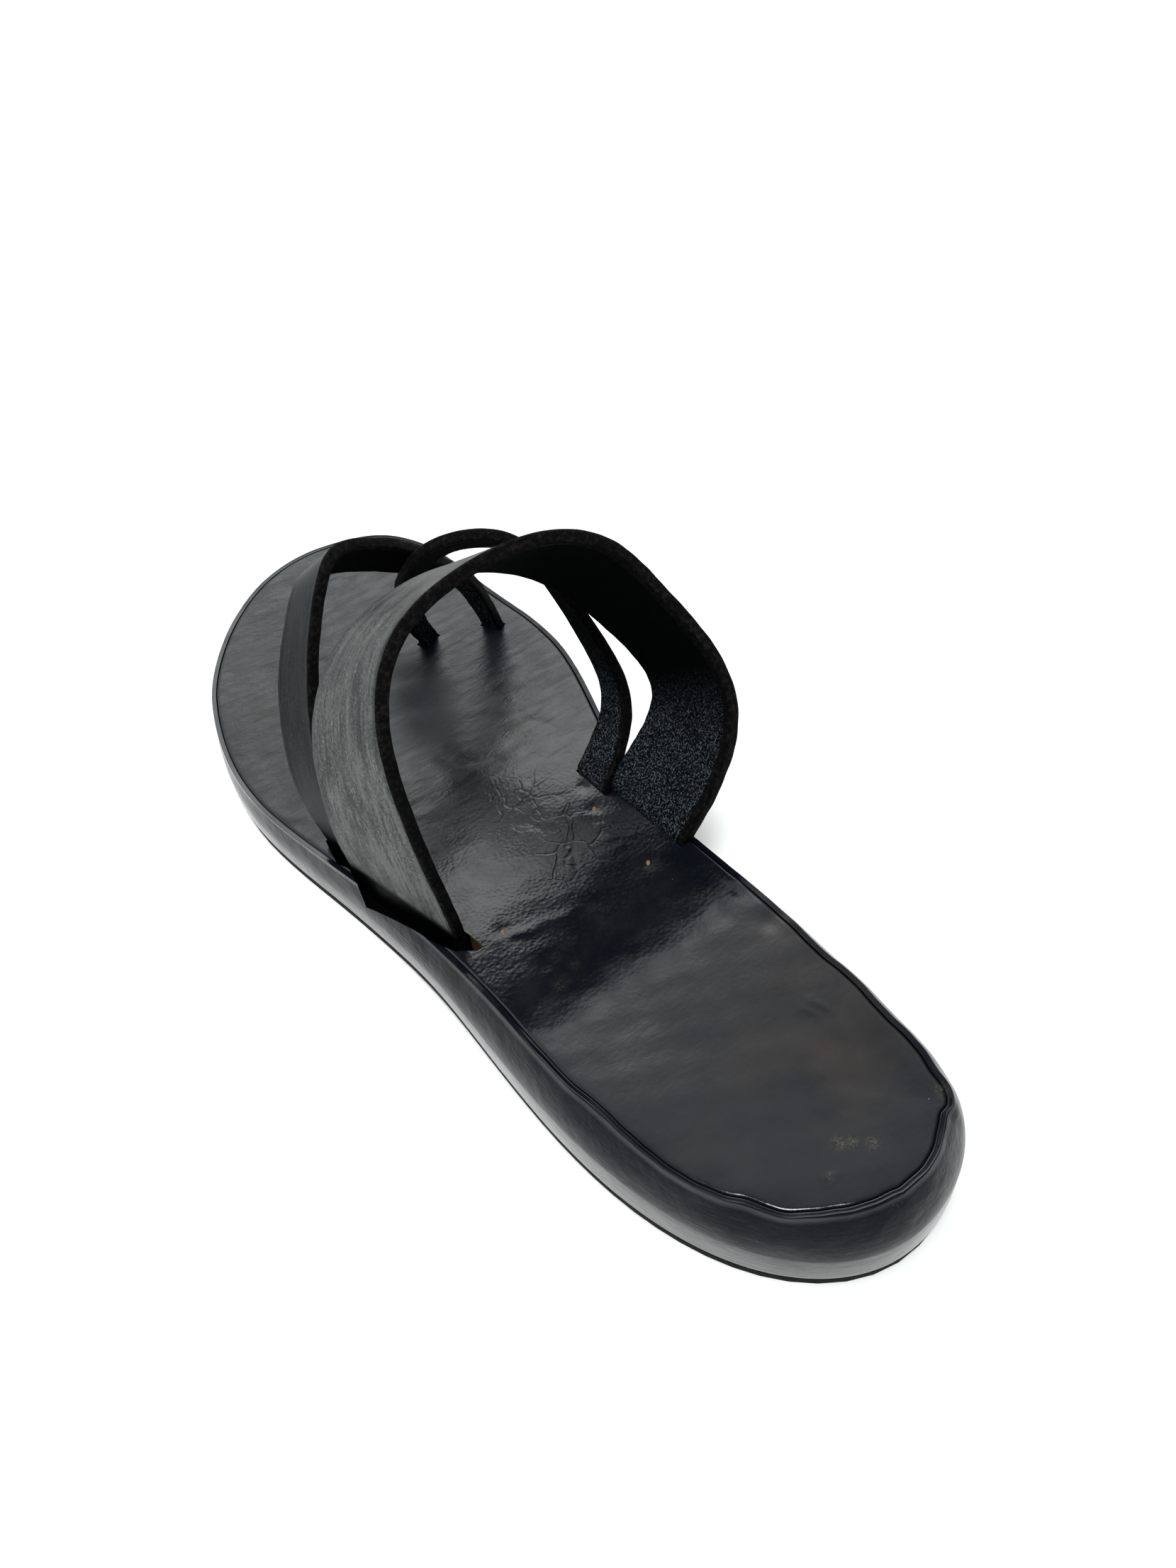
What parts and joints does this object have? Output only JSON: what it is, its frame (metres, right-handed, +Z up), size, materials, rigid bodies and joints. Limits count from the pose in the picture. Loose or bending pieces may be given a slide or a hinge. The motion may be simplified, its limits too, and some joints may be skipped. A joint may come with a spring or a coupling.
{
  "type": "slide sandal",
  "caption": "Left slide sandal: leather-wrapped flat sole with an inlaid footbed, a wide instep strap and two narrow straps that cross over the big toe.",
  "frame": {"origin": "on the floor under the middle of the sole's outline", "axes": "+Y towards the toe, +X towards the wearer's right (the big-toe side of this left shoe), +Z up"},
  "size_m": [0.1048, 0.2854, 0.1001],
  "materials": {
    "outsole": "matt black sole leather",
    "sole_wrap": "waxed black leather, smooth, streaked along the side",
    "footbed": "polished charcoal leather with fine pebble grain and wear",
    "strap": "black leather, waxy bloom outside, suede inside"
  },
  "bodies": {
    "root": {"outsole": "outsole", "midsole": "sole_wrap", "footbed": "footbed", "upper": "strap"}
  },
  "joints": []
}
